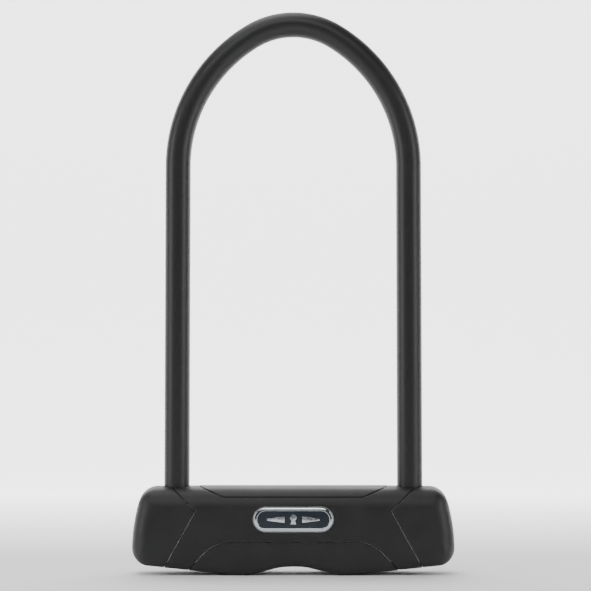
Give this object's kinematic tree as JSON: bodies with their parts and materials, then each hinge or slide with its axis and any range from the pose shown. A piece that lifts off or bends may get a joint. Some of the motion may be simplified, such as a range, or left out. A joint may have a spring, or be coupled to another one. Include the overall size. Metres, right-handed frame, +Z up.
{
  "type": "bicycle u lock",
  "caption": "U lock with a vinyl-sleeved round shackle, a plastic-clad steel crossbar, a plug that drives a bolt into each foot, and a sliding keyhole shutter.",
  "frame": {"origin": "on the floor under the middle of the crossbar, on which the lock stands", "axes": "+X along the crossbar, +Y to the rear, +Z up along the legs of the shackle; the badge faces -Y"},
  "size_m": [0.1664, 0.0344, 0.2945],
  "materials": {
    "shell_plastic": "fine grained, matt black",
    "strip_plastic": "fine grained, matt black",
    "sleeve_vinyl": "satin black vinyl",
    "badge_chrome": "bright plated",
    "badge_slate": "dark slate enamel",
    "badge_silver": "satin silver",
    "case_steel": "bright zinc plated",
    "hard_steel": "ground, hardened",
    "cast_zinc": "cast, dull",
    "key_brass": "machined",
    "felt": "black felt"
  },
  "bodies": {
    "crossbar": {"lock_case": "case_steel", "front_cover": "shell_plastic", "rear_cover": "shell_plastic", "end_cap_left": "shell_plastic", "end_cap_right": "shell_plastic", "top_strip": "strip_plastic", "grip_strip": "strip_plastic", "badge_frame": "badge_chrome", "badge_plate": "badge_slate", "badge_emblem": "badge_silver", "block_pins": "hard_steel", "housing_pins": "hard_steel", "socket_block_left": "hard_steel", "socket_block_right": "hard_steel", "leg_seal_left": "felt", "leg_seal_right": "felt", "bolt_channel": "cast_zinc", "cylinder_housing": "cast_zinc", "keyhole_bezel": "hard_steel"},
    "plug": {"rotor": "key_brass", "guard_disc": "hard_steel", "locking_discs": "key_brass", "disc_spacers": "hard_steel", "sidebar": "hard_steel", "rotor_clip": "hard_steel", "drive_cam": "cast_zinc"},
    "bolt_left": {"bolt_left": "hard_steel", "follower_pin_left": "hard_steel"},
    "bolt_right": {"bolt_right": "hard_steel", "follower_pin_right": "hard_steel"},
    "shackle": {"shackle_bar": "hard_steel", "shackle_sleeve": "sleeve_vinyl"},
    "shutter": {"keyhole_shutter": "strip_plastic"}
  },
  "joints": [
    {"name": "shackle_lift", "type": "slide", "parent": "crossbar", "child": "shackle", "axis": [0, 0, 1], "range_m": [0, 0.05]},
    {"name": "plug_turn", "type": "hinge", "parent": "crossbar", "child": "plug", "pos_m": [0, 0, 0.016], "axis": [0, 0, -1], "range_deg": [0, 90]},
    {"name": "bolt_left_slide", "type": "slide", "parent": "crossbar", "child": "bolt_left", "axis": [-1, 0, 0], "range_m": [0, 0.005]},
    {"name": "bolt_right_slide", "type": "slide", "parent": "crossbar", "child": "bolt_right", "axis": [1, 0, 0], "range_m": [0, 0.005]},
    {"name": "shutter_slide", "type": "slide", "parent": "crossbar", "child": "shutter", "axis": [1, 0, 0], "range_m": [0, 0.014]}
  ],
  "couplings": [
    {"joint": "plug_turn", "follows": "bolt_left_slide", "rad_per_m": 314.16},
    {"joint": "bolt_right_slide", "follows": "bolt_left_slide", "ratio": 1}
  ]
}
